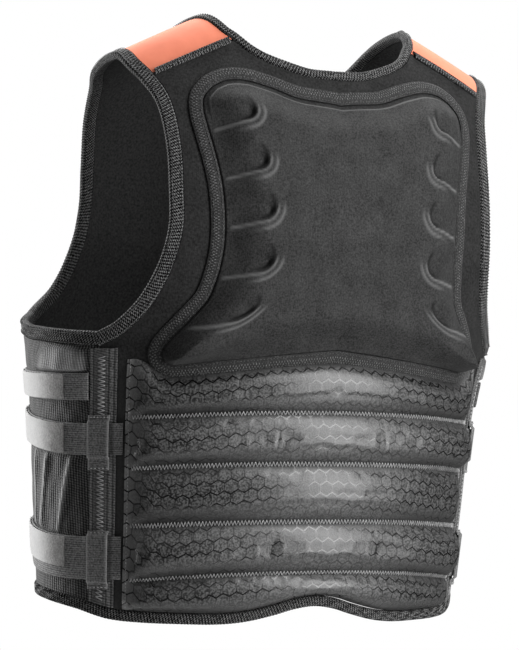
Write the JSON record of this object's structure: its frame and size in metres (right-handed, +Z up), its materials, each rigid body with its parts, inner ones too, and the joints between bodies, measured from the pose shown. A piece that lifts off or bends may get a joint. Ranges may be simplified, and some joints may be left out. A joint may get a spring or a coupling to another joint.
{
  "type": "impact vest",
  "caption": "Padded sleeveless impact vest with a grooved moulded back pad, a quilted honeycomb lower pad, coral shoulder yokes, knitted side panels and side straps.",
  "frame": {"origin": "middle of the shoulder line, where the yokes rest on the wearer's shoulders", "axes": "+Z up, +Y out of the wearer's back, +X to the wearer's left"},
  "size_m": [0.453, 0.3012, 0.5292],
  "materials": {
    "stretch_foam": "matt black stretch cloth over thin foam",
    "knit": "dark ribbed stretch knit",
    "coral_cloth": "plain coral cloth",
    "binding": "black overlocked edge binding",
    "seam_tape": "black flat tape with zigzag stitches",
    "elastic": "dark woven elastic",
    "pile": "grey loop pile",
    "webbing": "black woven webbing",
    "pad_cloth": "smooth dark grey moulded cloth",
    "pad_border": "dark stitched border cloth",
    "honeycomb": "black cloth with a satin honeycomb pattern"
  },
  "bodies": {
    "root": {"back_panel": "stretch_foam", "front_panel": "stretch_foam", "side_panel_left": "knit", "side_panel_right": "knit", "shoulder_yoke_left": "coral_cloth", "shoulder_yoke_right": "coral_cloth", "shoulder_trim_left_back": "binding", "shoulder_trim_left_front": "binding", "shoulder_trim_right_back": "binding", "shoulder_trim_right_front": "binding", "armhole_binding_left": "binding", "armhole_binding_right": "binding", "neck_binding": "binding", "hem_binding": "binding", "seam_tape_left_back": "seam_tape", "seam_tape_left_front": "seam_tape", "seam_tape_right_back": "seam_tape", "seam_tape_right_front": "seam_tape", "upper_back_pad": "pad_cloth", "upper_pad_border": "pad_border", "lower_back_pad": "honeycomb", "strap_band_left_1": "elastic", "strap_band_left_2": "elastic", "strap_band_left_3": "elastic", "strap_band_right_1": "elastic", "strap_band_right_2": "elastic", "strap_band_right_3": "elastic", "strap_tab_left_1": "pile", "strap_tab_left_2": "pile", "strap_tab_left_3": "pile", "strap_tab_right_1": "pile", "strap_tab_right_2": "pile", "strap_tab_right_3": "pile", "strap_keeper_left_2": "webbing", "strap_keeper_left_3": "webbing", "strap_keeper_right_2": "webbing", "strap_keeper_right_3": "webbing"}
  },
  "joints": []
}
